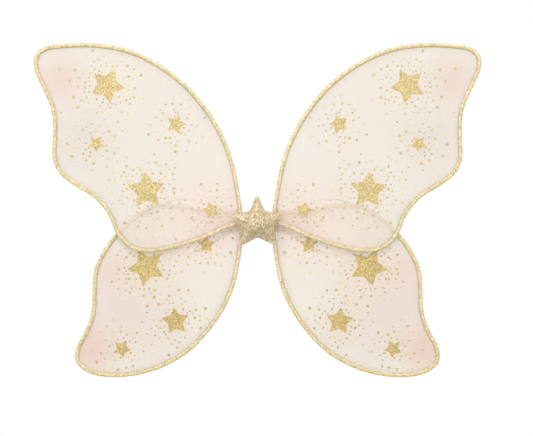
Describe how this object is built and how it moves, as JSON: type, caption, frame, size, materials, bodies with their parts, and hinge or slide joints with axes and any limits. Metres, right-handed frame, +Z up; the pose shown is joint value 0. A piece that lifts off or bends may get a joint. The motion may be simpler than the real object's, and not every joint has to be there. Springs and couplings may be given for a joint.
{
  "type": "fairy wings",
  "caption": "Child's fairy wings: wire-framed sheer fabric wings with glitter-tape edges, hinged on a padded star, with elastic arm loops.",
  "frame": {"origin": "centre of the back patch's rear face, the face that rests on the wearer's back, level with the star's centre", "axes": "+X to the wings' right as seen from the star's side, +Y towards the wearer, +Z up"},
  "size_m": [0.5, 0.0891, 0.3742],
  "materials": {
    "sheer_fabric": "sheer smooth stretch fabric, faint sheen, printed with gold glitter stars and dots",
    "glitter_tape": "folded tape of pale gold glitter yarn",
    "glitter_cloth": "coarse champagne glitter cloth",
    "spring_wire": "drawn spring steel wire",
    "ferrule": "crimped barrel",
    "ribbon": "folded satin ribbon",
    "felt": "thick pale felt",
    "filling": "polyester fibre filling",
    "elastic": "flat woven elastic"
  },
  "bodies": {
    "hub": {"back_patch": "felt", "hub_pad": "felt", "root_band_lower": "ribbon", "root_band_upper": "ribbon", "star_front": "glitter_cloth", "star_back": "glitter_cloth", "star_stuffing": "filling"},
    "wing_upper_left": {"membrane_upper_left": "sheer_fabric", "binding_upper_left": "glitter_tape", "wire_upper_left": "spring_wire", "ferrule_upper_left": "ferrule"},
    "wing_lower_left": {"membrane_lower_left": "sheer_fabric", "binding_lower_left": "glitter_tape", "wire_lower_left": "spring_wire", "ferrule_lower_left": "ferrule"},
    "strap_left": {"strap_left": "elastic"},
    "wing_upper_right": {"membrane_upper_right": "sheer_fabric", "binding_upper_right": "glitter_tape", "wire_upper_right": "spring_wire", "ferrule_upper_right": "ferrule"},
    "wing_lower_right": {"membrane_lower_right": "sheer_fabric", "binding_lower_right": "glitter_tape", "wire_lower_right": "spring_wire", "ferrule_lower_right": "ferrule"},
    "strap_right": {"strap_right": "elastic"}
  },
  "joints": [
    {"name": "flap_upper_left", "type": "hinge", "parent": "hub", "child": "wing_upper_left", "pos_m": [-0.019, -0.0097, 0.0064], "axis": [0, 0, 1], "range_deg": [-12, 32], "stiffness_Nm_per_rad": 0.17},
    {"name": "flap_lower_left", "type": "hinge", "parent": "hub", "child": "wing_lower_left", "pos_m": [-0.019, -0.0041, 0.0064], "axis": [0, 0, 1], "range_deg": [-12, 32], "stiffness_Nm_per_rad": 0.17},
    {"name": "swing_strap_left", "type": "hinge", "parent": "hub", "child": "strap_left", "pos_m": [-0.0152, -0.0007, 0], "axis": [0, 0, -1], "range_deg": [-10, 62]},
    {"name": "flap_upper_right", "type": "hinge", "parent": "hub", "child": "wing_upper_right", "pos_m": [0.019, -0.0097, 0.0064], "axis": [0, 0, -1], "range_deg": [-12, 32], "stiffness_Nm_per_rad": 0.17},
    {"name": "flap_lower_right", "type": "hinge", "parent": "hub", "child": "wing_lower_right", "pos_m": [0.019, -0.0041, 0.0064], "axis": [0, 0, -1], "range_deg": [-12, 32], "stiffness_Nm_per_rad": 0.17},
    {"name": "swing_strap_right", "type": "hinge", "parent": "hub", "child": "strap_right", "pos_m": [0.0152, -0.0007, 0], "axis": [0, 0, 1], "range_deg": [-10, 62]}
  ],
  "couplings": [
    {"joint": "flap_lower_left", "follows": "flap_upper_left", "ratio": 1},
    {"joint": "flap_lower_right", "follows": "flap_upper_right", "ratio": 1}
  ]
}
